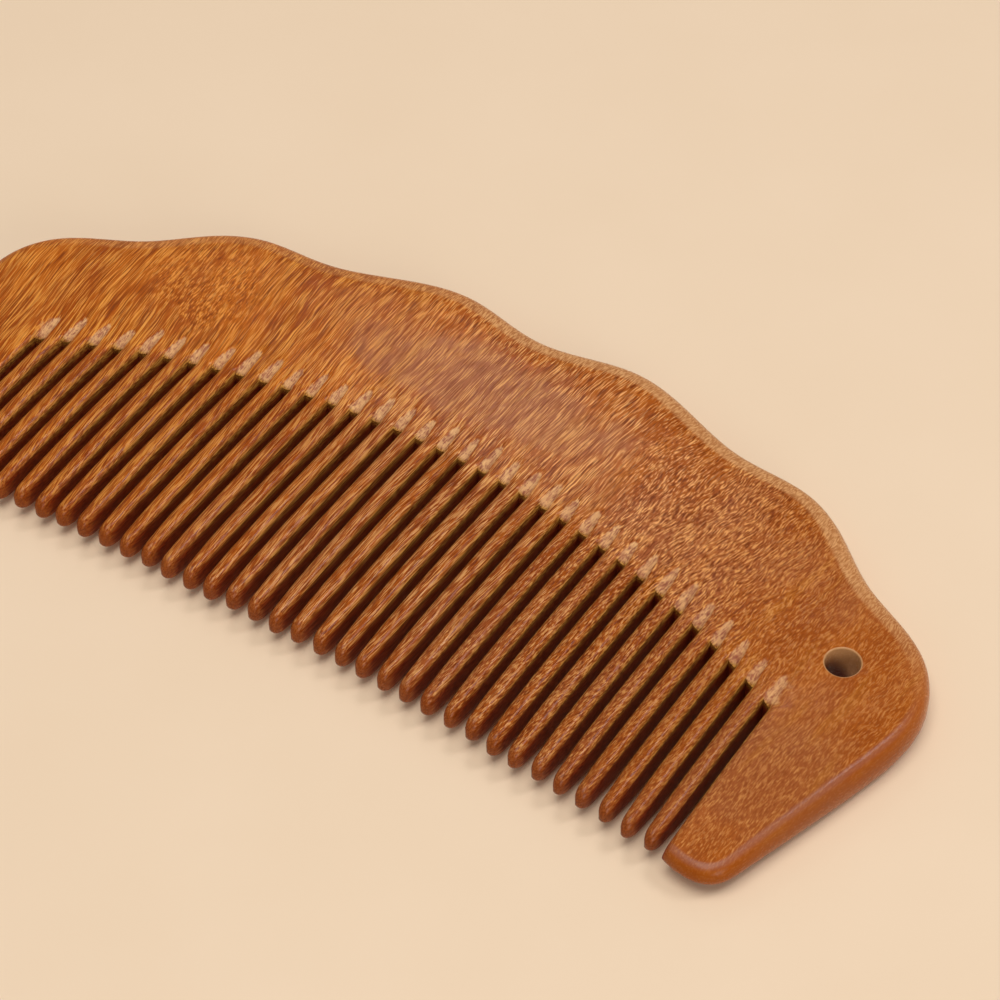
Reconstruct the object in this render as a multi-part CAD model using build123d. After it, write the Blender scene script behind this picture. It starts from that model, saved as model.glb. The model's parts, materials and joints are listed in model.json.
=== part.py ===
from build123d import *
import math
import os

# A hand-shaped wooden comb with a wavy back, lying flat: X runs along the back, the teeth
# point towards -Y and +Z is up. All lengths are in millimetres.

# Teeth and the slots between them
PITCH = 3.0
TOOTH_COUNT = 34
SLOT_WIDTH = 1.2
TOOTH_WIDTH = PITCH - SLOT_WIDTH
TOOTH_EDGE_RADIUS = 0.45
TOOTH_END_RADIUS = 0.6

# Circular arc on which every slot ends, from its rise above the two outermost slots
ROOT_HALF_CHORD = PITCH * TOOTH_COUNT / 2
ROOT_RISE = 11.5
ROOT_RADIUS = (ROOT_HALF_CHORD**2 + ROOT_RISE**2) / (2 * ROOT_RISE)
ROOT_CENTRE_Y = ROOT_RISE - ROOT_RADIUS

# Circular arc on which the tooth tips lie, lower at the ends than in the middle
TIP_MIDDLE_Y = -19.95
TIP_CORNER_X = 58.2
TIP_CORNER_Y = -23.3
TIP_CORNER_RADIUS = 4.0
TIP_SAG = TIP_MIDDLE_Y - TIP_CORNER_Y
TIP_RADIUS = (TIP_CORNER_X**2 + TIP_SAG**2) / (2 * TIP_SAG)

# Wavy back and right-hand side, from the first crest down to the lower corner
RIGHT_HALF = [
    (11.9, 35.65),
    (23.6, 32.5),
    (29.75, 30.65),
    (39.25, 29.8),
    (44.8, 27.05),
    (52.0, 21.3),
    (57.55, 18.5),
    (62.85, 14.8),
    (65.65, 9.4),
    (64.45, -1.8),
    (60.0, -16.8),
]
MIDDLE_DIP_Y = 33.5

# The left-hand end is rounded off a little shorter than the right-hand one, and its crests are lower
LEFT_SHORTER = 1.3
LEFT_SHORTER_FROM = 45.0
LEFT_SHORTER_TO = 62.85
LEFT_LOWER = 0.25
SHOULDER_Y = 16.0

# Thickness: flat over the body, crowned down to the tips and to the back edge
BODY_THICKNESS = 5.4
TIP_THICKNESS = 2.6
BACK_THICKNESS = 4.6
FLAT_LOW_Y = -1.5
FLAT_HIGH_Y = 22.0
BACK_Y = 36.5
OUTER_EDGE_RADIUS = 1.1

# Hanging hole near the right-hand end
HOLE_X = 55.2
HOLE_Y = 9.2
HOLE_RADIUS = 2.0
HOLE_CHAMFER = 0.25

# Half-size of the blocks that the comb is cut up with
REACH = 90.0


def left_point(x, y):
    """Mirror image of a point of the right half, lowered and drawn in towards the left-hand end."""
    share = (x - LEFT_SHORTER_FROM) / (LEFT_SHORTER_TO - LEFT_SHORTER_FROM)
    lower = LEFT_LOWER if y > SHOULDER_Y else 0
    return (LEFT_SHORTER * min(max(share, 0), 1) - x, y - lower)


def outline():
    """Plan shape of the comb before its slots are sawn."""
    left_half = [left_point(x, y) for x, y in reversed(RIGHT_HALF)]
    left_corner = left_point(TIP_CORNER_X, TIP_CORNER_Y)
    right_corner = (TIP_CORNER_X, TIP_CORNER_Y)
    back = Spline([left_corner] + left_half + [(0, MIDDLE_DIP_Y)] + RIGHT_HALF + [right_corner])
    tips = ThreePointArc(left_corner, (0, TIP_MIDDLE_Y), right_corner)
    face = make_face([back, tips])
    corners = face.vertices().sort_by(Axis.Y)[:2]
    return fillet(corners, TIP_CORNER_RADIUS)


def section_face():
    """Section across the comb: flat in the middle, crowned towards the tips and the back."""
    middle = BODY_THICKNESS / 2
    tip_half = TIP_THICKNESS / 2
    back_half = BACK_THICKNESS / 2
    upper_low = Vector(FLAT_LOW_Y, middle)
    upper_high = Vector(FLAT_HIGH_Y, middle)
    upper_tip = Vector(TIP_CORNER_Y, tip_half)
    upper_back = Vector(BACK_Y, back_half)
    upper = [
        TangentArc(upper_low, upper_tip, tangent=(-1, 0)),
        Line(upper_low, upper_high),
        TangentArc(upper_high, upper_back, tangent=(1, 0)),
    ]
    lower = [mirror(edge, about=Plane.XZ) for edge in upper]
    ends = [
        Line((TIP_CORNER_Y, -tip_half), upper_tip),
        Line((BACK_Y, -back_half), upper_back),
    ]
    return make_face(upper + lower + ends)


def side_plane():
    """Plane across the comb, its own X along the comb's Y, centred in the thickness."""
    return Plane(origin=(0, 0, BODY_THICKNESS / 2), x_dir=(0, 1, 0), z_dir=(1, 0, 0))


def section_bar():
    """The section drawn out along the whole length of the comb."""
    return extrude(side_plane() * section_face(), REACH, both=True)


def root_disc():
    """Disc whose rim is the arc that the slots end on."""
    centre = (0, ROOT_CENTRE_Y, BODY_THICKNESS / 2)
    return Pos(*centre) * Cylinder(ROOT_RADIUS, 2 * BODY_THICKNESS)


def board():
    """The whole comb without slots or hole, its outer edges rounded."""
    slab = extrude(outline(), BODY_THICKNESS)
    solid = slab & section_bar()
    rims = [edge for edge in solid.edges() if edge.geom_type != GeomType.LINE]
    return fillet(rims, OUTER_EDGE_RADIUS)


def hanging_hole():
    """Cutter for the hanging hole, wider where it breaks each face."""
    middle = BODY_THICKNESS / 2
    bore = Cylinder(HOLE_RADIUS, 2 * BODY_THICKNESS)
    rim = Cone(HOLE_RADIUS, HOLE_RADIUS + 2 * HOLE_CHAMFER, 2 * HOLE_CHAMFER)
    top = Pos(0, 0, middle) * rim
    bottom = Rot(180, 0, 0) * top
    return Pos(HOLE_X, HOLE_Y, middle) * (bore + top + bottom)


def back(whole):
    """Wavy back of the comb, down to the arc of the tooth roots."""
    return whole - root_disc() - hanging_hole()


def end_guard(whole, side):
    """Wide plain tooth at one end: side is +1 at the right and -1 at the left."""
    inner_x = ROOT_HALF_CHORD + SLOT_WIDTH / 2
    block = Pos(side * (inner_x + REACH / 2), 0, 0) * Box(REACH, 2 * REACH, REACH)
    guard = whole & root_disc() & block
    slot_wall = guard.faces().sort_by(Axis.X)[0 if side > 0 else -1]
    long_edges = slot_wall.edges().filter_by(lambda edge: edge.length > 2 * PITCH)
    return fillet(long_edges, TOOTH_EDGE_RADIUS)


def tip_y(x):
    """Height of the tip arc at a place along the comb."""
    return TIP_MIDDLE_Y - TIP_RADIUS + math.sqrt(TIP_RADIUS**2 - x**2)


def tooth(x):
    """Narrow tooth centred on x, with rounded edges and tip, ended by the root arc."""
    low = tip_y(x)
    high = ROOT_RISE + PITCH
    blank = Pos(x, (low + high) / 2, 0) * Box(TOOTH_WIDTH, high - low, REACH)
    bar = blank & section_bar()
    tip_corners = bar.edges().filter_by(Axis.Z).group_by(Axis.Y)[0]
    bar = fillet(tip_corners, TOOTH_END_RADIUS)
    upright = bar.edges().filter_by(Axis.Z)
    crossing_above_tip = bar.edges().filter_by(Axis.X).sort_by(Axis.Y)[2:]
    kept_sharp = upright + crossing_above_tip
    rims = [edge for edge in bar.edges() if edge not in kept_sharp]
    return fillet(rims, TOOTH_EDGE_RADIUS) & root_disc()


def pieces():
    """Every node of the comb by name, before it is moved to its frame."""
    whole = board()
    found = {"back": back(whole)}
    found["left_end_guard"] = end_guard(whole, -1)
    found["right_end_guard"] = end_guard(whole, 1)
    for index in range(TOOTH_COUNT):
        x = (index + 0.5) * PITCH - ROOT_HALF_CHORD
        found[f"tooth_{index + 1:02d}"] = tooth(x)
    middle = whole.bounding_box().center()
    place = Pos(-middle.X, -middle.Y, 0)
    return {name: place * shape for name, shape in found.items()}


os.makedirs("parts", exist_ok=True)
for name, shape in pieces().items():
    export_step(shape, f"parts/{name}.step")
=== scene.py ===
import json
import math

import bpy
import numpy as np
from mathutils import Matrix, Vector
from mathutils.bvhtree import BVHTree
from mathutils.geometry import delaunay_2d_cdt


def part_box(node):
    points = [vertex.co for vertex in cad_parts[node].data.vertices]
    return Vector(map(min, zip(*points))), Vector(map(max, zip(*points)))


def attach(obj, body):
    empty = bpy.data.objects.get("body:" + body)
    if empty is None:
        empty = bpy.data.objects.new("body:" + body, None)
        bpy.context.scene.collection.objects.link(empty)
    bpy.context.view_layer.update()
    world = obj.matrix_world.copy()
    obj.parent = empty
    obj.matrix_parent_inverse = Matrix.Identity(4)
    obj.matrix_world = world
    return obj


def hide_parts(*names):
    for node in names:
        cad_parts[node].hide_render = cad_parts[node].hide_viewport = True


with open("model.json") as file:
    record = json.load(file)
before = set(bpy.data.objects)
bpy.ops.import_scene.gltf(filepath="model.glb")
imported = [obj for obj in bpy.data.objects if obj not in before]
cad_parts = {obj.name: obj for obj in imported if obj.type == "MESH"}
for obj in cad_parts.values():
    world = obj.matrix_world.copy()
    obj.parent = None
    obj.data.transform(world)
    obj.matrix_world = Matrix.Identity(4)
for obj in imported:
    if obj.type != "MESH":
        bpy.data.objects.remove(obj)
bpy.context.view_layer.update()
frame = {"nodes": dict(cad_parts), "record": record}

MM = 0.001

# ---------------------------------------------------------------- sizes read from the frame

TEETH = sorted(name for name in frame["nodes"] if name.startswith("tooth_"))
TOOTH_BOXES = [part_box(name) for name in TEETH]
TOOTH_X = [(low.x + high.x) / 2 for low, high in TOOTH_BOXES]
TOOTH_HALF = (TOOTH_BOXES[0][1].x - TOOTH_BOXES[0][0].x) / 2
PITCH = (TOOTH_X[-1] - TOOTH_X[0]) / (len(TEETH) - 1)
SLOT_HALF = PITCH / 2 - TOOTH_HALF
FIRST_SLOT_X = TOOTH_X[0] - PITCH / 2
LAST_SLOT_X = TOOTH_X[-1] + PITCH / 2
BACK_LOW, BACK_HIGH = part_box("back")
MIDDLE_Z = (BACK_LOW.z + BACK_HIGH.z) / 2
HALF_THICKNESS = (BACK_HIGH.z - BACK_LOW.z) / 2
GUARD_TIP_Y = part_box("right_end_guard")[0].y
HOLE = next(mount for mount in frame["record"]["mounts"] if mount["name"] == "hanging_hole")
HOLE_CENTRE = np.array(HOLE["pos_m"][:2])
HOLE_RADIUS = HOLE["dims"]["r_mm"] * MM

# ---------------------------------------------------------------- shape of the finished wood

# How far each face falls away from the flat middle, towards the tips and the back edge
TIP_THINNING = 1.4 * MM
BACK_THINNING = 0.4 * MM
FLAT_LOW_Y = -4.0 * MM
FLAT_HIGH_Y = 15.0 * MM

# Rounded outer edge: its reach across the face, and how square it is at the guards and at the back
EDGE_REACH = 1.5 * MM
EDGE_POWER = 2.05
BACK_EDGE_POWER = 2.7

# Gentle bevel inside the rounded edge of the back, fading out down the guards
BEVEL_REACH = 4.2 * MM
BEVEL_DROP = 0.5 * MM
BEVEL_HIGH_Y = 14 * MM
BEVEL_LOW_Y = -4 * MM

# Width of the strip beside the edge whose colour differs, at the guards and at the back
RIM_WIDTH = 2.1 * MM
BACK_RIM_WIDTH = 3.2 * MM

# Rounding along the edges of the teeth: drop at the slot wall, reach across the tooth, fading past the root
TOOTH_EDGE_DROP = 0.5 * MM
TOOTH_EDGE_REACH = 0.85 * MM
TOOTH_EDGE_POWER = 2.2
TOOTH_EDGE_FADE = 1.9 * MM

# Hollow that the wheel leaves past each root: depth and half width at the root, and how far it runs
HOLLOW_DEPTH = 0.5 * MM
HOLLOW_HALF = 0.74 * MM
HOLLOW_POWER = 2.6
HOLLOW_LENGTH = 4.1 * MM
HOLLOW_SOFTNESS = 0.03 * MM
HOLLOW_SPREAD = 0.16

# Rounded tooth tip
NOSE_LENGTH = 1.9 * MM
NOSE_POWER = 2.3
TIP_NARROWING = 0.16
TIP_NARROWING_LENGTH = 7 * MM

HOLE_ROUNDING = 0.22 * MM

# How far each mark of the material reaches: sawn walls, ground run-outs, and teeth past their roots
SAWN_REACH = 0.28 * TOOTH_HALF
SAWN_FADE = 0.5 * MM
RUNOUT_DEPTHS = (0.03 * MM, 0.13 * MM)
RUNOUT_START = (-0.3 * MM, 0.2 * MM)
TOOTH_FADE = (-1 * MM, 3 * MM)
TIP_RIM = 2.2 * MM
TOOTH_SAWN_SHARE = 0.72

# Largest differences between one tooth and the next: tip's place, sideways bend and narrowing
TIP_UNEVENNESS = 0.35 * MM
TOOTH_BEND = 0.09 * MM
NARROWING_RANGE = (0.7, 1.3)

# Seeds of the chance differences between slots, and between teeth
SLOT_SEED = 7
TOOTH_SEED = 100

# ---------------------------------------------------------------- spacing of the meshes

# Outline: rays that find it, spacing of its points, rounds of smoothing
OUTLINE_RAYS = 1600
OUTLINE_STEP = 0.5 * MM
OUTLINE_ROUNDS = 5

# Start of the rays outside the comb, and how far inside a wall its place is measured
OUTSIDE = 1
SEAM = 0.02 * MM

# Points across a tooth, from a slot into a guard, across a slot, and over the rounded outer edge
ACROSS_TOOTH = np.array([-1, -0.86, -0.7, -0.5, -0.26, 0, 0.26, 0.5, 0.7, 0.86, 1])
FROM_SLOT = 1 + ACROSS_TOOTH[:6]
ACROSS_SLOT = np.linspace(-1, 1, 7)[1:-1]
RING_SHARES = 1 - np.cos(np.linspace(0, math.pi / 2, 10))

# Rows of points inside the rounded edge, and past the roots over the hollows
INNER_ROWS = (2.1 * MM, 2.8 * MM)
PAST_ROOT = np.array([0.22, 0.5, 0.8, 1.1, 1.45, 1.8, 2.2, 2.6, 3.0, 3.4, 3.9, 4.5]) * MM

# Evenly spread points, and their gaps to the edge, the roots, the hollows and a guard's other points
GRID_STEP = 1.3 * MM
GRID_TO_EDGE = 3.3 * MM
GRID_TO_ROOTS = 0.8 * MM
GRID_TO_HOLLOWS = 0.7 * MM
GRID_TO_GUARD = 0.6 * MM

# Gaps that edge rows and guards keep to the roots, to a guard's other points and to their own loop
OUTLINE_TO_ROOTS = 0.1 * MM
ROWS_TO_ROOTS = 0.15 * MM
ROWS_TO_GUARD = 0.3 * MM
GUARD_TO_ROOTS = 0.12 * MM
GUARD_TO_LOOP = 0.01 * MM

# Points down the slot wall of a guard: spacing, and where they start and stop
WALL_STEP = 0.9 * MM
WALL_START = 0.7 * MM
WALL_STOP = 0.5 * MM

# Places tried along the arc over a guard, points between its slot and its edge, and part of the arc used
ARC_SAMPLES = 400
ARC_POINTS = 7
ARC_SHARE = 0.9

# Circles of points round the hanging hole, their clear ring, and reach and turns of its mouth
HOLE_POINTS = 48
HOLE_CIRCLES = (0.55 * MM, 0.9 * MM, 1.5 * MM)
HOLE_CLEARANCE = 1.9 * MM
MOUTH_REACH = 1.5 * HOLE_ROUNDING
MOUTH_TURNS = np.linspace(0, math.pi / 2, 5)[1:]

# Sections along a tooth, those of its rounded tip, and how far its walls reach towards the middle plane
TOOTH_SECTIONS = 20
NOSE_TURNS = np.linspace(math.pi / 2, 0.09, 9)
WALL_SHARE = 0.35

# Widest distance at which a point counts as on the outer edge, and closest distance of two points in mm
ON_EDGE = 0.002 * MM
MERGE_MM = 1e-5

SHARP_ANGLE = math.radians(38)

# Points handled at one time
CHUNK = 1000


def circle_through(a, b, c):
    """Centre and radius of the circle through three plan points."""
    rows = 2 * np.array([b - a, c - a])
    centre = np.linalg.solve(rows, [b @ b - a @ a, c @ c - a @ a])
    return centre, np.linalg.norm(centre - a)


def root_corner(index, side):
    """Corner of a tooth on the arc of the roots, on its side nearer the middle of the comb."""
    low, high = TOOTH_BOXES[index]
    return np.array([high.x if side > 0 else low.x, high.y])


ROOT_CENTRE, ROOT_RADIUS = circle_through(
    root_corner(0, 1), root_corner(len(TEETH) // 2 - 1, 1), root_corner(-1, -1)
)


def root_y(x):
    """Arc that the slots end on."""
    return ROOT_CENTRE[1] + np.sqrt(ROOT_RADIUS**2 - (x - ROOT_CENTRE[0]) ** 2)


def smooth_step(value, low, high):
    """0 up to the low limit and 1 from the high one, with a soft passage between them."""
    share = np.clip((value - low) / (high - low), 0, 1)
    return share * share * (3 - 2 * share)


def rounded(share, power):
    """Height of a rounded edge, from 0 at its outer limit to 1 where it meets the face."""
    share = np.clip(share, 0, 1)
    return (1 - (1 - share) ** power) ** (1 / power)


def find_outline():
    """Plan outline of the comb from one guard's tip, round the back, to the other guard's tip."""
    vertices = []
    polygons = []
    for name in ("back", "left_end_guard", "right_end_guard"):
        mesh = frame["nodes"][name].data
        start = len(vertices)
        vertices += [vertex.co.copy() for vertex in mesh.vertices]
        polygons += [[start + index for index in polygon.vertices] for polygon in mesh.polygons]
    tree = BVHTree.FromPolygons(vertices, polygons)

    def hit(origin, direction):
        return np.array(tree.ray_cast(Vector((*origin, MIDDLE_Z)), Vector((*direction, 0)))[0][:2])

    right_tip = hit((LAST_SLOT_X + SLOT_HALF + SEAM, -OUTSIDE), (0, 1))
    left_tip = hit((FIRST_SLOT_X - SLOT_HALF - SEAM, -OUTSIDE), (0, 1))
    first = math.atan2(right_tip[1], right_tip[0])
    last = 2 * math.pi + math.atan2(left_tip[1], left_tip[0])
    hits = [right_tip]
    for angle in np.linspace(first, last, OUTLINE_RAYS)[1:-1]:
        direction = np.array([math.cos(angle), math.sin(angle)])
        hits.append(hit(direction * OUTSIDE, -direction))
    return np.array(hits + [left_tip])


def spaced(points, step):
    """Points evenly spaced along a polyline."""
    lengths = np.r_[0, np.cumsum(np.linalg.norm(np.diff(points, axis=0), axis=1))]
    stations = np.linspace(0, lengths[-1], int(lengths[-1] / step) + 1)
    return np.column_stack([np.interp(stations, lengths, values) for values in points.T])


def smoothed(points, rounds):
    """Evens out a polyline, leaving its ends in place."""
    points = points.copy()
    for _ in range(rounds):
        points[1:-1] = (points[:-2] + 2 * points[1:-1] + points[2:]) / 4
    return points


OUTLINE = smoothed(spaced(find_outline(), OUTLINE_STEP), OUTLINE_ROUNDS)
OUTLINE[0, 0] = LAST_SLOT_X + SLOT_HALF
OUTLINE[-1, 0] = FIRST_SLOT_X - SLOT_HALF


def rim_distance(x, y):
    """Distance from plan points to the outer edge of the comb."""
    points = np.c_[x, y]
    starts = OUTLINE[:-1]
    steps = np.diff(OUTLINE, axis=0)
    squares = (steps**2).sum(1)
    found = np.empty(len(points))
    for index in range(0, len(points), CHUNK):
        part = points[index : index + CHUNK, None] - starts[None]
        share = np.clip((part * steps).sum(2) / squares, 0, 1)
        gaps = part - share[..., None] * steps
        found[index : index + CHUNK] = np.sqrt((gaps**2).sum(2).min(1))
    return found


def slot_offset(x):
    """Distance from the middle of the nearest slot, and that slot's middle."""
    index = np.clip(np.round((x - FIRST_SLOT_X) / PITCH), 0, len(TEETH))
    middle = FIRST_SLOT_X + index * PITCH
    return np.abs(x - middle), middle


SLOT_CHANCE = np.random.default_rng(SLOT_SEED).uniform(-1, 1, (len(TEETH) + 1, 2))


def hollow(x, y):
    """Depth of the wheel's run-out on each face past the roots, a little different at every slot."""
    offset, middle = slot_offset(x)
    past = np.clip(y - root_y(middle), 0, None)
    chance = SLOT_CHANCE[np.round((middle - FIRST_SLOT_X) / PITCH).astype(int)]
    length = HOLLOW_LENGTH * (1 + HOLLOW_SPREAD * chance[..., 0])
    half = HOLLOW_HALF * (1 + HOLLOW_SPREAD * chance[..., 1] / 2)
    depth = 1 - (offset / half) ** HOLLOW_POWER - (past / length) ** 2
    depth = HOLLOW_DEPTH * np.clip(depth, -1, 1)
    return (depth + np.sqrt(depth**2 + HOLLOW_SOFTNESS**2)) / 2


def tooth_edge(x, y):
    """Depth of the rounding along the edges of the teeth, fading out past the roots."""
    offset, middle = slot_offset(x)
    past = np.clip(y - root_y(middle), 0, None)
    inward = np.clip((offset - SLOT_HALF) / TOOTH_EDGE_REACH, 0, 1)
    fade = np.clip(1 - past / TOOTH_EDGE_FADE, 0, 1) ** 2
    return TOOTH_EDGE_DROP * (1 - inward) ** TOOTH_EDGE_POWER * fade


def groove(x, y):
    """Depth taken off each face between and beyond the teeth."""
    near_root = y > root_y(slot_offset(x)[1]) - TOOTH_EDGE_REACH
    return np.hypot(hollow(x, y) * near_root, tooth_edge(x, y))


def crown(y):
    """Half thickness of the board, flat in the middle and thinner towards its edges."""
    to_tip = np.clip((FLAT_LOW_Y - y) / (FLAT_LOW_Y - GUARD_TIP_Y), 0, None)
    to_back = np.clip((y - FLAT_HIGH_Y) / (BACK_HIGH.y - FLAT_HIGH_Y), 0, None)
    return HALF_THICKNESS - TIP_THINNING * to_tip**2 - BACK_THINNING * to_back**2


def on_back(y):
    """1 along the back, fading to 0 down the guards."""
    return smooth_step(y, BEVEL_LOW_Y, BEVEL_HIGH_Y)


def rise(x, y):
    """Height of the finished face above the middle plane."""
    from_rim = rim_distance(x, y)
    power = EDGE_POWER + (BACK_EDGE_POWER - EDGE_POWER) * on_back(y)
    edge = rounded(from_rim / EDGE_REACH, power)
    bevel = BEVEL_DROP * on_back(y) * np.clip(1 - from_rim / BEVEL_REACH, 0, 1) ** 2
    return edge * (crown(y) - bevel - groove(x, y))


# ---------------------------------------------------------------- marks that the material reads


def sawn_mark(x, y):
    """1 on the sawn walls of the slots, 0 on the polished faces."""
    offset, middle = slot_offset(x)
    beside = 1 - smooth_step(offset, SLOT_HALF, SLOT_HALF + SAWN_REACH)
    return beside * (1 - smooth_step(y - root_y(middle), 0, SAWN_FADE))


def runout_mark(x, y):
    """1 in the ground hollows where the wheel ran out past the roots."""
    deep = smooth_step(hollow(x, y), *RUNOUT_DEPTHS)
    return deep * smooth_step(y - root_y(slot_offset(x)[1]), *RUNOUT_START)


def tooth_mark(x, y):
    """1 along the teeth, fading to 0 just past their roots and on the guards."""
    beside_row = np.maximum(FIRST_SLOT_X - x, x - LAST_SLOT_X)
    return smooth_step(root_y(x) - y, *TOOTH_FADE) * (1 - smooth_step(beside_row, 0, PITCH / 2))


def rim_mark(x, y):
    """1 on the outer edge, 0 on the faces."""
    width = RIM_WIDTH + (BACK_RIM_WIDTH - RIM_WIDTH) * on_back(y)
    return 1 - smooth_step(rim_distance(x, y) / width, 0, 1)


def face_marks(x, y):
    """Every mark of the points of one face."""
    marks = {"sawn": sawn_mark(x, y), "runout": runout_mark(x, y), "rim": rim_mark(x, y)}
    return marks | {"tooth": tooth_mark(x, y), "bore": np.zeros(len(x))}


def with_wall(marks, count, key):
    """The marks with more points added, of a wall on which only the given mark is 1."""
    return {name: np.r_[values, np.full(count, float(name == key))] for name, values in marks.items()}


# ---------------------------------------------------------------- meshes


def make_object(name, vertices, faces, marks):
    """Mesh object with smooth shading, sharp edges at its corners, and the material's marks."""
    mesh = bpy.data.meshes.new(name)
    mesh.from_pydata(vertices.tolist(), [], faces)
    mesh.validate()
    for key, values in marks.items():
        attribute = mesh.attributes.new(key, "FLOAT", "POINT")
        attribute.data.foreach_set("value", values.astype(np.float32))
    mesh.shade_smooth()
    mesh.set_sharp_from_angle(angle=SHARP_ANGLE)
    piece = bpy.data.objects.new(name, mesh)
    bpy.context.scene.collection.objects.link(piece)
    return piece


def inside(points, loop):
    """True for the plan points inside a closed loop."""
    x, y = points[:, 0], points[:, 1]
    found = np.zeros(len(points), bool)
    for (ax, ay), (bx, by) in zip(loop, np.roll(loop, -1, axis=0)):
        crosses = (ay > y) != (by > y)
        if ay != by:
            found ^= crosses & (x < ax + (y - ay) * (bx - ax) / (by - ay))
    return found


def triangulate(loops, points):
    """Fills the area inside the first loop and outside the others, using the given points."""
    corners = np.vstack(loops + [points])
    edges = []
    start = 0
    for loop in loops:
        count = len(loop)
        edges += [(start + i, start + (i + 1) % count) for i in range(count)]
        start += count
    corners_mm = [Vector(corner) / MM for corner in corners]
    flat, _, triangles, *_ = delaunay_2d_cdt(corners_mm, edges, [], 0, MERGE_MM)
    flat = np.array(flat) * MM
    triangles = np.array(triangles)
    middles = flat[triangles].mean(1)
    keep = inside(middles, loops[0])
    for loop in loops[1:]:
        keep &= ~inside(middles, loop)
    triangles = triangles[keep]
    used = np.unique(triangles)
    renumber = np.zeros(len(flat), int)
    renumber[used] = np.arange(len(used))
    return flat[used], renumber[triangles]


def open_edges(triangles):
    """Directed edges that only one triangle uses."""
    directed = {(t[i], t[(i + 1) % 3]) for t in triangles.tolist() for i in range(3)}
    return [edge for edge in directed if (edge[1], edge[0]) not in directed]


def wall_quads(edges, upper, lower, under, start):
    """Upright walls with vertices of their own under the given open edges of the face."""
    ends = sorted({index for edge in edges for index in edge})
    number = {index: start + i for i, index in enumerate(ends)}
    count = len(ends)
    vertices = np.vstack([upper[ends], lower[ends]])
    faces = []
    for a, b in edges:
        ring = [number[b], number[a], number[a] + count, number[b] + count]
        pinched = [under[index] == index for index in (b, a)]
        if all(pinched):
            continue
        if pinched[0]:
            ring = ring[:3]
        elif pinched[1]:
            ring = [ring[0], ring[1], ring[3]]
        faces.append(ring)
    return vertices, faces


def bore_rings(edges, upper, lower, start):
    """Rounded mouths and the wall of the hanging hole, from one face's circle to the other's."""
    following = dict(edges)
    order = [edges[0][0]]
    while following[order[-1]] != order[0]:
        order.append(following[order[-1]])
    outward = upper[order, :2] - HOLE_CENTRE
    outward /= np.linalg.norm(outward, axis=1)[:, None]
    rings = []
    for turn in MOUTH_TURNS:
        plan = HOLE_CENTRE + outward * (HOLE_RADIUS + HOLE_ROUNDING * (1 - math.sin(turn)))
        rings.append(np.c_[plan, upper[order, 2] - HOLE_ROUNDING * (1 - math.cos(turn))])
    rings += [np.c_[ring[:, :2], 2 * MIDDLE_Z - ring[:, 2]] for ring in rings[::-1]]
    count = len(order)
    levels = [np.array(order)] + [start + np.arange(count) + i * count for i in range(len(rings))]
    levels.append(np.array(order) + len(upper))
    faces = []
    for high, low in zip(levels, levels[1:]):
        for i in range(count):
            j = (i + 1) % count
            faces.append([int(high[j]), int(high[i]), int(low[i]), int(low[j])])
    return np.vstack(rings), faces


def plate(name, loops, points):
    """Closed piece of the board: both finished faces, meeting at the outer edge or at upright walls."""
    flat, triangles = triangulate(loops, points)
    x, y = flat.T
    height = rise(x, y)
    shared = rim_distance(x, y) < ON_EDGE
    height[shared] = 0
    count = len(flat)
    upper = np.c_[flat, MIDDLE_Z + height]
    lower = np.c_[flat, MIDDLE_Z - height]
    under = np.arange(count) + count
    under[shared] = np.flatnonzero(shared)
    faces = triangles.tolist() + under[triangles[:, ::-1]].tolist()
    marks = {key: np.r_[values, values] for key, values in face_marks(x, y).items()}
    vertices = np.vstack([upper, lower])
    at_hole = np.linalg.norm(flat - HOLE_CENTRE, axis=1) < HOLE_RADIUS + MOUTH_REACH
    edges = open_edges(triangles)
    bore = [edge for edge in edges if at_hole[edge[0]]]
    walls = [edge for edge in edges if not at_hole[edge[0]]]
    if bore:
        rings, more = bore_rings(bore, upper, lower, len(vertices))
        vertices = np.vstack([vertices, rings])
        faces += more
        marks = with_wall(marks, len(rings), "bore")
    wall, more = wall_quads(walls, upper, lower, under, len(vertices))
    faces += more
    return make_object(name, np.vstack([vertices, wall]), faces, with_wall(marks, len(wall), "sawn"))


def root_stations():
    """Places along the arc of the roots, from the left guard to the right guard."""
    teeth = [x + ACROSS_TOOTH * TOOTH_HALF for x in TOOTH_X]
    slots = [FIRST_SLOT_X + i * PITCH + ACROSS_SLOT * SLOT_HALF for i in range(len(TEETH) + 1)]
    return np.sort(np.concatenate(teeth + slots))


def guard_stations(side):
    """Places along the arc from a slot wall out to the comb's end, closer at both of them."""
    wall = LAST_SLOT_X + SLOT_HALF if side > 0 else FIRST_SLOT_X - SLOT_HALF
    crossing = arc_crossing(side)
    x = np.linspace(wall, crossing[0], ARC_SAMPLES)
    reach = rim_distance(x, root_y(x)) / EDGE_REACH
    at_rim = np.interp(RING_SHARES[1:], reach[::-1], x[::-1])
    beside_slot = wall + side * FROM_SLOT * TOOTH_HALF
    between = np.linspace(beside_slot[-1], at_rim[-1], ARC_POINTS)[1:-1]
    stations = np.concatenate([beside_slot, between, at_rim[::-1]])
    return stations, crossing


def arc_crossing(side):
    """Where the arc of the roots meets the outline at one end."""
    reach = ARC_SHARE * ROOT_RADIUS
    beyond = root_y(np.clip(OUTLINE[:, 0], -reach, reach)) - OUTLINE[:, 1]
    order = range(len(OUTLINE) - 1) if side > 0 else range(len(OUTLINE) - 2, -1, -1)
    for i in order:
        if beyond[i] * beyond[i + 1] <= 0:
            share = beyond[i] / (beyond[i] - beyond[i + 1])
            point = OUTLINE[i] + share * (OUTLINE[i + 1] - OUTLINE[i])
            return np.array([point[0], root_y(point[0])])
    raise ValueError("the arc of the roots misses the outline")


def with_arc(x):
    """Plan points on the arc of the roots."""
    return np.c_[x, root_y(x)]


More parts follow.
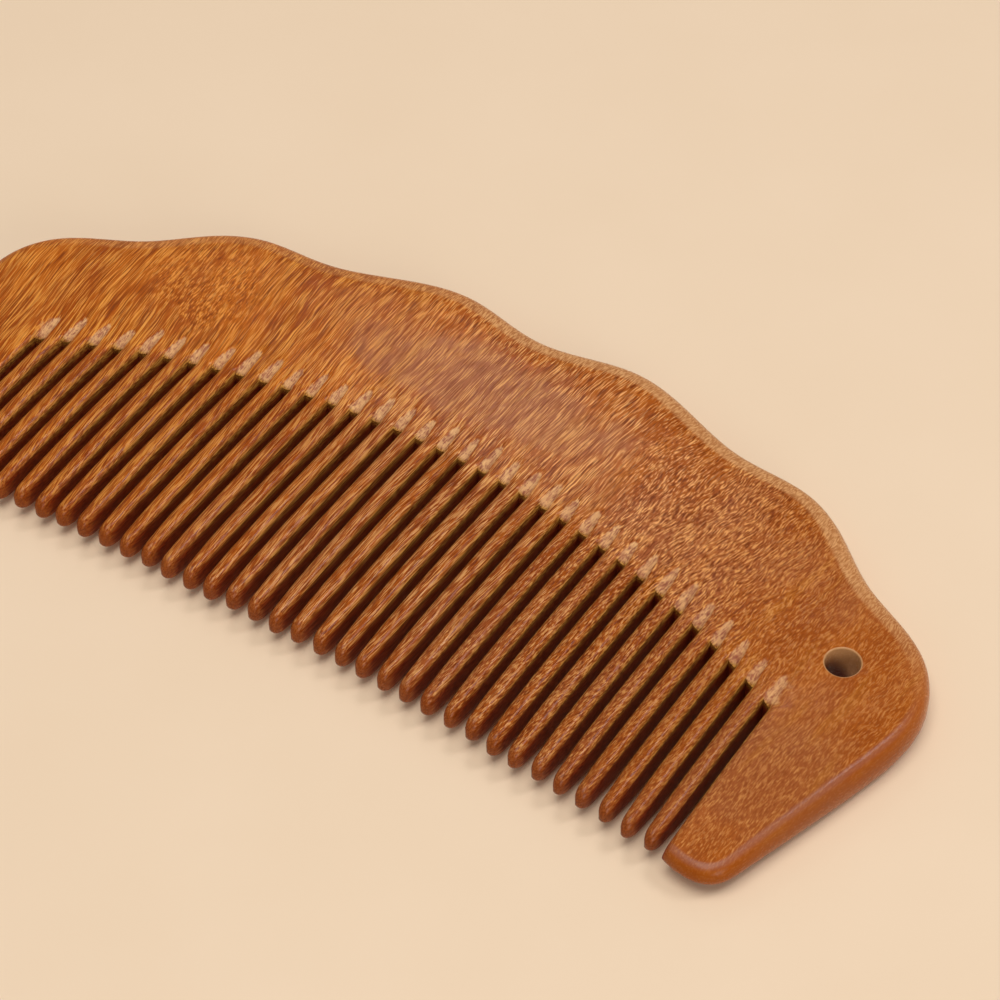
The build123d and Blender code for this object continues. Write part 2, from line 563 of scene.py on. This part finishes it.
def edge_rings():
    """Points in rows parallel to the outline, over its rounded edge and just inside it."""
    along = np.gradient(OUTLINE, axis=0)
    along /= np.linalg.norm(along, axis=1)[:, None]
    inward = np.c_[-along[:, 1], along[:, 0]]
    depths = [*EDGE_REACH * RING_SHARES[1:], *INNER_ROWS]
    return np.vstack([OUTLINE + inward * depth for depth in depths])


def face_grid():
    """Points evenly spread over the faces inside the rounded edge, in staggered rows."""
    rows = np.arange(GUARD_TIP_Y, BACK_HIGH.y, GRID_STEP * math.sqrt(3) / 2)
    points = []
    for index, y in enumerate(rows):
        x = np.arange(BACK_LOW.x, BACK_HIGH.x, GRID_STEP) + (index % 2) * GRID_STEP / 2
        points.append(np.c_[x, np.full(len(x), y)])
    points = np.vstack(points)
    return points[rim_distance(*points.T) > GRID_TO_EDGE]


def clear_of(points, others, gap):
    """The points that stand at least a gap away from all the others."""
    keep = np.ones(len(points), bool)
    for index in range(0, len(points), CHUNK):
        part = points[index : index + CHUNK]
        near = ((part[:, None] - others[None]) ** 2).sum(2).min(1)
        keep[index : index + CHUNK] = near > gap**2
    return points[keep]


def circle(reach):
    """Points round the hanging hole, at a distance from its wall."""
    radius = HOLE_RADIUS + reach
    angles = np.linspace(0, 2 * math.pi, HOLE_POINTS, endpoint=False)
    return HOLE_CENTRE + radius * np.c_[np.cos(angles), np.sin(angles)]


def make_back():
    """The wavy back with the wheel's hollows along its roots, and the hanging hole."""
    left, left_end = guard_stations(-1)
    right, right_end = guard_stations(1)
    roots = root_stations()
    arc = with_arc(np.unique(np.concatenate([left[::-1], roots, right]).round(9)))
    rim = OUTLINE[OUTLINE[:, 1] > root_y(OUTLINE[:, 0]) + OUTLINE_TO_ROOTS]
    loop = np.vstack([left_end, arc, right_end, rim])
    hollows = np.vstack([np.c_[roots, root_y(roots) + step] for step in PAST_ROOT])
    rows = edge_rings()
    rows = clear_of(rows[rows[:, 1] > root_y(rows[:, 0]) + ROWS_TO_ROOTS], arc, ROWS_TO_ROOTS)
    grid = face_grid()
    grid = clear_of(grid[grid[:, 1] > root_y(grid[:, 0]) + GRID_TO_ROOTS], hollows, GRID_TO_HOLLOWS)
    points = np.vstack([hollows, rows, grid])
    points = points[np.linalg.norm(points - HOLE_CENTRE, axis=1) > HOLE_RADIUS + HOLE_CLEARANCE]
    circles = [circle(reach) for reach in HOLE_CIRCLES]
    return plate("comb_back", [loop, circle(HOLE_ROUNDING)], np.vstack([points] + circles))


def guard_wall(wall_x, tip_y):
    """Heights of the points down the slot wall of a guard, closer together at its tip."""
    start = tip_y + EDGE_REACH + WALL_START
    steps = np.arange(start, root_y(wall_x) - WALL_STOP, WALL_STEP)
    return np.concatenate([tip_y + EDGE_REACH * RING_SHARES[1:], steps])


def column(x, y):
    """Plan points above one another."""
    return np.c_[np.full(len(y), x), y]


def make_guard(name, side):
    """Wide plain tooth at one end of the row."""
    stations, crossing = guard_stations(side)
    wall_x = stations[0]
    on_guard = OUTLINE[:, 1] < root_y(OUTLINE[:, 0]) - OUTLINE_TO_ROOTS
    below = OUTLINE[on_guard & (side * OUTLINE[:, 0] > 0)]
    wall_y = guard_wall(wall_x, below[0 if side > 0 else -1, 1])
    wall = column(wall_x, wall_y)
    arc = with_arc(stations)
    if side > 0:
        loop = np.vstack([below, crossing, arc[::-1], wall[::-1]])
    else:
        loop = np.vstack([below, wall, arc, crossing])
    columns = wall_x + side * FROM_SLOT[1:] * TOOTH_HALF
    beside = np.vstack([column(x, wall_y) for x in columns])
    placed = np.vstack([arc, beside])
    rows = edge_rings()
    rows = clear_of(rows[side * rows[:, 0] > side * columns[-1]], placed, ROWS_TO_GUARD)
    grid = face_grid()
    grid = clear_of(grid[side * grid[:, 0] > side * columns[-1]], placed, GRID_TO_GUARD)
    points = np.vstack([beside, rows, grid])
    points = points[points[:, 1] < root_y(points[:, 0]) - GUARD_TO_ROOTS]
    points = clear_of(points[inside(points, loop)], loop, GUARD_TO_LOOP)
    return plate(name, [loop], points)


# Once round a tooth: place across it, and height as a share of its face's, from the upper face on
ROUND_TOOTH = np.concatenate([ACROSS_TOOTH, [1, 1], ACROSS_TOOTH[::-1], [-1, -1]])
FACE_SHARE = np.ones(len(ACROSS_TOOTH))
ROUND_SHARE = np.concatenate(
    [FACE_SHARE, [WALL_SHARE, -WALL_SHARE], -FACE_SHARE, [-WALL_SHARE, WALL_SHARE]]
)


def tooth_levels(top, tip):
    """Heights of a tooth's sections, from its root to its tip."""
    body = np.linspace(top, tip + NOSE_LENGTH, TOOTH_SECTIONS)[1:-1]
    return np.concatenate([[top], body, tip + NOSE_LENGTH * (1 - np.cos(NOSE_TURNS))])


def tube_faces(rings, count):
    """Faces between rings of the same count, closed at the first ring and at a point past the last."""
    faces = []
    for ring in range(rings - 1):
        for i in range(count):
            a = ring * count + i
            b = ring * count + (i + 1) % count
            faces.append([a, b, b + count, a + count])
    last = (rings - 1) * count
    faces += [[last + i, last + (i + 1) % count, last + count] for i in range(count)]
    faces.append(list(range(count - 1, -1, -1)))
    return faces


def make_tooth(name, index):
    """Narrow tooth: sections from the arc of the roots down to a rounded tip."""
    rng = np.random.default_rng(TOOTH_SEED + index)
    middle = TOOTH_X[index]
    tip = TOOTH_BOXES[index][0].y + rng.uniform(0, TIP_UNEVENNESS)
    lean = rng.uniform(-TOOTH_BEND, TOOTH_BEND)
    narrowing = TIP_NARROWING * rng.uniform(*NARROWING_RANGE)
    top = root_y(middle)
    levels = tooth_levels(top, tip)
    straight = middle + ROUND_TOOTH * TOOTH_HALF
    rings = []
    for number, level in enumerate(levels):
        nose_share = rounded((level - tip) / NOSE_LENGTH, NOSE_POWER)
        slim = 1 - narrowing * (1 - smooth_step(level - tip, 0, TIP_NARROWING_LENGTH))
        bend = lean * ((top - level) / (top - tip)) ** 2
        x = middle + bend + ROUND_TOOTH * TOOTH_HALF * slim * nose_share
        y = np.full(len(x), level) if number else root_y(straight)
        height = (crown(y) - groove(straight, np.minimum(y, root_y(straight)))) * nose_share
        rings.append(np.c_[x, y, MIDDLE_Z + ROUND_SHARE * height])
    vertices = np.vstack(rings + [[[middle + lean, tip, MIDDLE_Z]]])
    x, y = vertices[:, 0], vertices[:, 1]
    sides = np.r_[np.tile(np.abs(ROUND_TOOTH), len(levels)), 0]
    rim = 1 - smooth_step(y - tip, 0, TIP_RIM)
    sawn = smooth_step(sides, TOOTH_SAWN_SHARE, 1) * (1 - rim)
    none = np.zeros(len(x))
    marks = {"sawn": sawn, "runout": none, "rim": rim, "tooth": tooth_mark(x, y), "bore": none}
    return make_object(name, vertices, tube_faces(len(levels), len(ROUND_TOOTH)), marks)


# ---------------------------------------------------------------- materials


# Sockets of a mix node that take its share and two colours, and the one that gives the colour
MIX_INPUTS = (0, 6, 7)
MIX_OUTPUT = 2


class Nodes:
    """Short calls for building one material's node tree."""

    def __init__(self, name):
        self.material = bpy.data.materials.new(name)
        self.material.use_nodes = True
        self.tree = self.material.node_tree
        self.shader = self.tree.nodes["Principled BSDF"]

    def node(self, kind, settings=None, inputs=None):
        made = self.tree.nodes.new(kind)
        for key, value in (settings or {}).items():
            setattr(made, key, value)
        for key, value in (inputs or {}).items():
            self.put(value, made.inputs[key])
        return made

    def put(self, value, socket):
        if isinstance(value, bpy.types.NodeSocket):
            self.tree.links.new(value, socket)
        else:
            socket.default_value = value

    def math(self, operation, *values):
        made = self.node("ShaderNodeMath", {"operation": operation})
        for socket, value in zip(made.inputs, values):
            self.put(value, socket)
        return made.outputs[0]

    def add(self, a, b):
        return self.math("ADD", a, b)

    def less(self, a, b):
        """a without b."""
        return self.math("SUBTRACT", a, b)

    def times(self, first, *others):
        """Product of all the values."""
        for other in others:
            first = self.math("MULTIPLY", first, other)
        return first

    def times_add(self, value, factor, offset):
        """The value times the factor, plus the offset."""
        return self.math("MULTIPLY_ADD", value, factor, offset)

    def step(self, value, low, high, to_low=0.0, to_high=1.0):
        """Soft passage from to_low, where the value is low, to to_high, where it is high."""
        made = self.node("ShaderNodeMapRange", {"interpolation_type": "SMOOTHSTEP"})
        for socket, item in zip(made.inputs, (value, low, high, to_low, to_high)):
            self.put(item, socket)
        return made.outputs[0]

    def vector(self, x, y, z):
        return self.node("ShaderNodeCombineXYZ", {}, {"X": x, "Y": y, "Z": z}).outputs[0]

    def noise(self, vector, detail=2.0, roughness=0.5):
        inputs = {"Vector": vector, "Scale": 1.0, "Detail": detail, "Roughness": roughness}
        return self.node("ShaderNodeTexNoise", {}, inputs).outputs["Fac"]

    def mix(self, share, a, b):
        """Colour a where the share is 0, and b where it is 1."""
        made = self.node("ShaderNodeMix", {"data_type": "RGBA"})
        for index, value in zip(MIX_INPUTS, (share, a, b)):
            self.put(value, made.inputs[index])
        return made.outputs[MIX_OUTPUT]

    def mark(self, name):
        """One of the marks that the meshes carry."""
        return self.node("ShaderNodeAttribute", {"attribute_name": name}).outputs["Fac"]


def srgb(red, green, blue):
    """Linear colour from 0 to 255 display values."""
    values = np.array([red, green, blue]) / 255
    linear = np.where(values <= 0.04045, values / 12.92, ((values + 0.055) / 1.055) ** 2.4)
    return (*linear.tolist(), 1.0)


# Wood between the fibres, and its changes to the right, in random mauve patches and the painted mauve
# sheen, and in the worn patch
GROUND_DARK = srgb(162, 74, 4)
GROUND_LIGHT = srgb(188, 98, 18)
GROUND_RIGHT = srgb(154, 80, 22)
MAUVE_TONE_AND_SHEEN = srgb(168, 104, 68)
WORN = srgb(154, 88, 48)
RIBBON = srgb(186, 118, 36)

# Fibres, golden from left to right, and dark
GOLD_LEFT = srgb(234, 160, 70)
GOLD_MIDDLE = srgb(238, 176, 108)
GOLD_RIGHT = srgb(220, 154, 84)
DARK_THREAD = srgb(116, 50, 6)
DARK_FIBRE = srgb(116, 46, 4)

# Edges: painted sheen on the bevel of the back, painted shade on the side and painted highlight on the
# crest of the guards, tooth tips
BACK_SHEEN_DARK = srgb(182, 122, 72)
BACK_SHEEN_LIGHT = srgb(216, 163, 110)
GUARD_SIDE_SHADE = srgb(136, 66, 2)
GUARD_CREST_HIGHLIGHT = srgb(146, 90, 72)
TIP_DARK = srgb(88, 34, 8)
TIP_LIGHT = srgb(142, 74, 34)

# Ground run-outs past the roots
CHALK_DARK = srgb(154, 94, 76)
CHALK_LIGHT = srgb(220, 170, 120)
CHALK_THREAD = srgb(238, 196, 140)

# Sawn walls near the faces, their painted shade deep inside, and the shade over all the teeth
RAW_DARK = srgb(118, 68, 16)
RAW_LIGHT = srgb(190, 138, 58)
SLOT_SHADE_DARK = srgb(92, 2, 0)
SLOT_SHADE_LIGHT = srgb(134, 32, 4)
TOOTH_SHADE = srgb(120, 50, 4)

# Wall of the hanging hole, and the painted shade on it
BORE_DARK = srgb(176, 124, 78)
BORE_LIGHT = srgb(206, 158, 110)
BORE_SHADE = srgb(84, 14, 0)

# Patches of the board in millimetres: centre and half size
KNOTTY_PATCH = (-40.0, 12.0, 8.0, 7.0)
# The middle patch is a painted sheen: mauve wood with fainter fibres
PAINTED_SHEEN_PATCH = (-2.0, 16.0, 19.0, 6.0)
WORN_PATCH = (56.0, -15.0, 9.0, 9.0)


class Wood(Nodes):
    """Orange-brown wood with golden fibres along the teeth, polished faces and raw sawn walls.

    x, y and z are millimetres in the comb's frame. across is x, bent to stay the same along a fibre.
    """

    def __init__(self, name):
        super().__init__(name)
        place = self.node("ShaderNodeTexCoord").outputs["Object"]
        in_mm = self.node("ShaderNodeVectorMath", {"operation": "SCALE"}, {0: place, "Scale": 1 / MM})
        self.x, self.y, self.z = self.node("ShaderNodeSeparateXYZ", {}, {0: in_mm.outputs[0]}).outputs
        self.rim = self.mark("rim")
        self.tooth = self.mark("tooth")
        self.runout = self.mark("runout")
        self.sawn = self.mark("sawn")
        self.bend_fibres()
        # Patch of painted sheen in the middle of the back
        self.sheen_patch = self.patch(*PAINTED_SHEEN_PATCH)
        self.draw_fibres()
        fine = self.vector(self.times(self.x, 2.6), self.times(self.y, 1.7), self.z)
        self.speckle = self.noise(fine, 4.0, 0.7)

    def at(self, fine_across, fine_y, fine_z=0.0, level=0.0):
        """Place for a noise: its fineness each way, and a level that keeps it apart from the others."""
        return self.vector(
            self.times(self.across, fine_across),
            self.times(self.y, fine_y),
            self.times_add(self.z, fine_z, level),
        )

    def bend_fibres(self):
        """Lays the fibres in a slight fan, with wander everywhere and curls on the body."""
        fan = self.step(self.x, -48.0, 38.0, 0.14, -0.14)
        lean = self.add(fan, self.step(self.x, 40.0, 56.0, 0.0, 0.08))
        self.across = self.times_add(self.y, lean, self.x)
        wander = self.noise(self.at(0.05, 0.045), 1.0)
        self.across = self.times_add(wander, 2.5, self.across)
        curl = self.noise(self.at(0.3, 0.35, 0.3, 7.0), 1.0)
        on_body = self.step(self.y, -14.0, 6.0)
        curl_size = self.times(on_body, self.step(self.x, 0.0, 40.0, 0.25, 0.9))
        self.across = self.times_add(curl, curl_size, self.across)

    def patch(self, centre_x, centre_y, half_x, half_y):
        """1 in a soft, uneven patch of the board, 0 outside it."""
        off_x = self.math("DIVIDE", self.less(self.x, centre_x), half_x)
        off_y = self.math("DIVIDE", self.less(self.y, centre_y), half_y)
        square = self.add(self.math("POWER", off_x, 2.0), self.math("POWER", off_y, 2.0))
        ragged = self.times_add(self.noise(self.at(0.22, 0.2, 0.0, 17.0)), 1.2, -0.6)
        return self.step(self.add(self.math("SQRT", square), ragged), 1.25, 0.65)

    def draw_fibres(self):
        """Fibres and the finer threads between them, longer at the left than at the right."""
        figure = self.noise(self.at(0.1, 0.07, 0.0, 3.0), 1.0)
        shortness = self.times_add(figure, 1.6, self.step(self.x, -20.0, 56.0, -1.1, 0.9))
        shortness = self.times_add(self.patch(*KNOTTY_PATCH), 1.1, shortness)
        self.fibre = self.fibre_noise(shortness)
        cluster = self.noise(self.at(0.8, 0.1, 0.5, 5.0), 2.0)
        clustered = self.add(self.fibre, self.times_add(cluster, 0.2, -0.1))
        self.light_fibre = self.step(clustered, 0.53, 0.66)
        self.dark_fibre = self.step(clustered, 0.46, 0.32)
        thread = self.thread_noise(shortness)
        self.threads = self.step(thread, 0.4, 0.6)
        self.light_thread = self.step(thread, 0.56, 0.64)
        self.dark_thread = self.step(thread, 0.48, 0.37)

    def fibre_noise(self, shortness):
        """Noise drawn out along the fibres, at three lengths."""
        long_fibres = self.noise(self.at(6.0, 0.26, 4.0), 1.0, 0.6)
        middle_fibres = self.noise(self.at(6.0, 0.5, 4.0, 20.0), 1.0, 0.6)
        short_fibres = self.noise(self.at(4.4, 1.15, 4.0, 40.0), 1.0, 0.6)
        fibre = self.mix(self.step(shortness, -0.1, 0.4), long_fibres, middle_fibres)
        return self.mix(self.step(shortness, 0.8, 1.4), fibre, short_fibres)

    def thread_noise(self, shortness):
        """Finer noise along the fibres, at two lengths."""
        fineness = self.step(self.x, -40.0, -8.0, 0.2, 0.36)
        long_threads = self.noise(self.at(8.5, fineness, 6.0, 70.0), 1.0)
        short_threads = self.noise(self.at(7.0, 1.2, 6.0, 80.0), 1.0)
        return self.mix(self.step(shortness, 0.3, 1.1), long_threads, short_threads)

    def ground_colour(self):
        """Wood between the fibres, browner to the right, mauve in random patches and as a painted sheen in
        the middle of the back, dull where worn.
        """
        broad = self.noise(self.at(0.25, 0.04, 0.2), 3.0)
        ground = self.mix(self.step(broad, 0.35, 0.65), GROUND_DARK, GROUND_LIGHT)
        ground = self.mix(self.step(self.x, -20.0, 50.0, 0.0, 0.6), ground, GROUND_RIGHT)
        tone = self.noise(self.at(0.07, 0.05, 0.0, 11.0), 2.0)
        mauve = self.times(self.step(tone, 0.42, 0.62), self.step(self.x, -45.0, 0.0, 0.05, 0.35))
        # Painted sheen: the middle patch is made mauve
        mauve = self.math("MAXIMUM", mauve, self.times(self.sheen_patch, 0.8))
        ground = self.mix(mauve, ground, MAUVE_TONE_AND_SHEEN)
        ground = self.mix(self.times(self.patch(*WORN_PATCH), 0.6), ground, WORN)
        ribbon = self.noise(self.at(0.5, 0.07, 0.3, 9.0), 1.0)
        return self.mix(self.times(self.step(ribbon, 0.55, 0.7), 0.25), ground, RIBBON)

    def face_colour(self):
        """Polished face: dark and golden threads, then fibres, over the ground."""
        strength = self.step(self.rim, 0.3, 1.0, 1.0, 0.3)
        # Fibres are fainter under the painted sheen
        strength = self.times(strength, self.times_add(self.sheen_patch, -0.3, 1.0))
        from_left = self.step(self.x, -20.0, 10.0, 0.8, 1.0)
        lively = self.times(from_left, self.step(self.x, 32.0, 56.0, 1.0, 0.35), strength)
        fading = self.times_add(self.tooth, 0.2, self.step(self.x, -40.0, 55.0, 0.55, 0.25))
        fading = self.times(fading, strength)
        gold = self.mix(self.step(self.x, -32.0, 4.0), GOLD_LEFT, GOLD_MIDDLE)
        gold = self.mix(self.step(self.x, 16.0, 46.0), gold, GOLD_RIGHT)
        colour = self.mix(self.times(self.dark_thread, lively), self.ground_colour(), DARK_THREAD)
        colour = self.mix(self.times(self.light_thread, lively, 0.95), colour, gold)
        colour = self.mix(self.times(self.dark_fibre, fading, 0.6), colour, DARK_FIBRE)
        return self.mix(self.times(self.light_fibre, fading), colour, gold)

    def add_edges(self, colour):
        """Painted sheen on the bevel along the back, painted shade on the brown sides and painted
        highlights on the crests of the guards, dark tooth tips.
        """
        # Painted sheen: the rolled back edge is made lighter and tan, more so to the right
        along_back = self.times(self.step(self.rim, 0.02, 0.28), self.step(self.y, 2.0, 15.0))
        back_sheen = self.times(along_back, self.step(self.x, -30.0, 5.0, 0.3, 0.85))
        colour = self.mix(back_sheen, colour, self.mix(self.threads, BACK_SHEEN_DARK, BACK_SHEEN_LIGHT))
        on_guard = self.step(self.y, 6.0, -4.0)
        # Painted shade: the outer sides of the guards are made darker
        side = self.times(self.step(self.rim, 0.6, 1.0), on_guard)
        colour = self.mix(self.times(side, 0.5), colour, GUARD_SIDE_SHADE)
        # Painted highlight: a mauve-grey line along the crest of each guard's edge
        crest_highlight = self.times(self.step(self.rim, 0.15, 0.4), self.step(self.rim, 0.9, 0.65))
        crest_highlight = self.times(crest_highlight, self.less(on_guard, self.tooth))
        colour = self.mix(self.times(self.math("MAXIMUM", crest_highlight, 0.0), 0.55), colour, GUARD_CREST_HIGHLIGHT)
        tip = self.mix(self.threads, TIP_DARK, TIP_LIGHT)
        return self.mix(self.times(self.rim, self.tooth, 0.6), colour, tip)

    def add_runouts(self, colour):
        """Pale, chalky wood with ragged limits where the wheel ran out past the roots."""
        coarse = self.vector(self.times(self.x, 1.5), self.times(self.y, 0.9), 3.0)
        chalky = self.noise(coarse, 3.0, 0.7)
        pale = self.mix(self.step(chalky, 0.42, 0.6), CHALK_DARK, CHALK_LIGHT)
        pale = self.mix(self.times(self.threads, 0.45), pale, CHALK_THREAD)
        ragged = self.step(self.times_add(chalky, 1.3, self.runout), 0.95, 1.65)
        share = self.times(ragged, self.step(self.x, -10.0, 50.0, 0.82, 0.65))
        return self.mix(share, colour, pale)

    def add_walls(self, colour):
        """Raw sawn walls of the slots, with painted shade that makes them dark red deep inside, and a shade
        over all the teeth.
        """
        from_middle = self.math("ABSOLUTE", self.less(self.z, MIDDLE_Z / MM))
        depth = self.less(MIDDLE_Z / MM, from_middle)
        raw = self.mix(self.threads, RAW_DARK, RAW_LIGHT)
        # Painted shade: the walls turn dark red with depth below the faces
        slot_shade = self.mix(self.threads, SLOT_SHADE_DARK, SLOT_SHADE_LIGHT)
        raw = self.mix(self.step(depth, 0.7, 1.8), raw, slot_shade)
        colour = self.mix(self.times(self.sawn, 0.9), colour, raw)
        return self.mix(self.times(self.tooth, 0.3), colour, TOOTH_SHADE)

    def add_bore(self, colour):
        """Wall of the hanging hole, with painted shade low down and towards the middle of the comb."""
        bore = self.mix(self.speckle, BORE_DARK, BORE_LIGHT)
        beside = self.less(float(HOLE_CENTRE[0] / MM), self.x)
        sunk = self.less(2.0 * MIDDLE_Z / MM, self.z)
        shaded = self.times_add(sunk, 0.35, self.times(beside, 0.5))
        # Painted shade, deeper down the hole and on its side towards the middle of the comb
        bore = self.mix(self.step(shaded, 1.0, 2.1), bore, BORE_SHADE)
        return self.mix(self.mark("bore"), colour, bore)

    def roughness(self):
        """Polished faces, duller in the run-outs and on the sawn walls."""
        rough = self.times_add(self.light_fibre, 0.08, 0.23)
        rough = self.times_add(self.runout, 0.3, rough)
        return self.times_add(self.sawn, 0.4, rough)

    def relief(self):
        """Fine unevenness of the fibres, of the sanding and of the crumbly run-outs."""
        sanding = self.noise(self.at(0.3, 0.3, 0.3, 60.0), 2.0)
        height = self.times_add(self.fibre, 0.02, self.times(sanding, 0.1))
        height = self.times_add(self.times(self.speckle, self.runout), 0.08, height)
        settings = {"Strength": 1.0, "Distance": MM, "Height": height}
        return self.node("ShaderNodeBump", {}, settings).outputs[0]


def wood():
    """The one material of the whole comb."""
    n = Wood("comb_wood")
    colour = n.add_edges(n.face_colour())
    colour = n.add_runouts(colour)
    colour = n.add_walls(colour)
    n.put(n.add_bore(colour), n.shader.inputs["Base Color"])
    n.put(n.roughness(), n.shader.inputs["Roughness"])
    n.put(n.relief(), n.shader.inputs["Normal"])
    n.shader.inputs["Specular IOR Level"].default_value = 0.2
    return n.material


# Floor: cloudy tints, and how many clouds there are to a metre
PAPER_DARK = srgb(235, 212, 185)
PAPER_LIGHT = srgb(240, 218, 193)
PAPER_FINENESS = 40.0


def floor_paper():
    """Pale matt paper under the comb."""
    n = Nodes("pale_paper")
    place = n.node("ShaderNodeTexCoord").outputs["Object"]
    inputs = {0: place, "Scale": PAPER_FINENESS}
    scaled = n.node("ShaderNodeVectorMath", {"operation": "SCALE"}, inputs)
    cloud = n.noise(scaled.outputs[0], 4.0)
    n.put(n.mix(cloud, PAPER_DARK, PAPER_LIGHT), n.shader.inputs["Base Color"])
    n.shader.inputs["Roughness"].default_value = 0.9
    return n.material


# ---------------------------------------------------------------- the comb

WOOD = wood()


def place_piece(piece, node):
    """Gives a piece its wood, ties it to the body, and hides the node that it stands for."""
    piece.data.materials.append(WOOD)
    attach(piece, "root")
    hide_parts(node)


place_piece(make_back(), "back")
place_piece(make_guard("comb_left_end_guard", -1), "left_end_guard")
place_piece(make_guard("comb_right_end_guard", 1), "right_end_guard")
for number, node_name in enumerate(TEETH):
    place_piece(make_tooth("comb_" + node_name, number), node_name)

# ---------------------------------------------------------------- floor, light and camera

FLOOR_HALF = 3.0
CAMERA_TARGET = Vector((8.456, 4.054, 2.7)) * MM
CAMERA_DISTANCE = 357.7 * MM
CAMERA_ELEVATION = math.radians(47.7)
CAMERA_AZIMUTH = math.radians(-34.48)
CAMERA_ROLL = math.radians(-0.72)
CAMERA_LENS = 111.0
SENSOR_WIDTH = 36.0
CLIP_START = 0.01

WARM_WHITE = (1.0, 0.95, 0.87)
ROSE_WHITE = (1.0, 0.9, 0.9)
COOL_WHITE = (1.0, 0.96, 0.96)
SKY_COLOUR = (1.0, 0.95, 0.88, 1.0)
SKY_STRENGTH = 0.3


def make_floor():
    """Wide square of paper that the comb lies on."""
    corners = [(-1, -1), (1, -1), (1, 1), (-1, 1)]
    vertices = [(x * FLOOR_HALF, y * FLOOR_HALF, 0) for x, y in corners]
    mesh = bpy.data.meshes.new("floor")
    mesh.from_pydata(vertices, [], [(0, 1, 2, 3)])
    floor = bpy.data.objects.new("floor", mesh)
    floor.data.materials.append(floor_paper())
    bpy.context.scene.collection.objects.link(floor)


def make_area_light(name, place, size, watts, colour):
    """Round soft light that faces the comb."""
    light = bpy.data.lights.new(name, "AREA")
    light.shape = "DISK"
    light.size = size
    light.energy = watts
    light.color = colour
    lamp = bpy.data.objects.new(name, light)
    lamp.location = place
    lamp.rotation_euler = (-Vector(place)).to_track_quat("-Z", "Y").to_euler()
    bpy.context.scene.collection.objects.link(lamp)


def make_camera():
    """Camera that looks down at the comb from its tip side."""
    forward = Vector((
        math.cos(CAMERA_ELEVATION) * math.sin(CAMERA_AZIMUTH),
        math.cos(CAMERA_ELEVATION) * math.cos(CAMERA_AZIMUTH),
        -math.sin(CAMERA_ELEVATION),
    ))
    camera = bpy.data.cameras.new("camera")
    camera.lens = CAMERA_LENS
    camera.sensor_width = SENSOR_WIDTH
    camera.clip_start = CLIP_START
    holder = bpy.data.objects.new("camera", camera)
    aim = forward.to_track_quat("-Z", "Y").to_matrix() @ Matrix.Rotation(CAMERA_ROLL, 3, "Z")
    holder.matrix_world = Matrix.Translation(CAMERA_TARGET - forward * CAMERA_DISTANCE) @ aim.to_4x4()
    bpy.context.scene.collection.objects.link(holder)
    bpy.context.scene.camera = holder


def make_world():
    """Even, warm light from all around."""
    world = bpy.data.worlds.new("soft_studio")
    world.use_nodes = True
    background = world.node_tree.nodes["Background"]
    background.inputs["Color"].default_value = SKY_COLOUR
    background.inputs["Strength"].default_value = SKY_STRENGTH
    bpy.context.scene.world = world


make_floor()
make_camera()
make_world()
make_area_light("overhead", place=(0.05, -0.15, 1.0), size=0.7, watts=5.5, colour=WARM_WHITE)
make_area_light("front_right", place=(0.8, -0.5, 0.35), size=0.5, watts=2.2, colour=WARM_WHITE)
make_area_light("back_left", place=(-0.39, 0.60, 0.72), size=0.12, watts=0.2, colour=ROSE_WHITE)
make_area_light("back_right", place=(0.45, 0.36, 0.80), size=0.3, watts=1.6, colour=COOL_WHITE)
bpy.context.scene.view_settings.view_transform = "Standard"
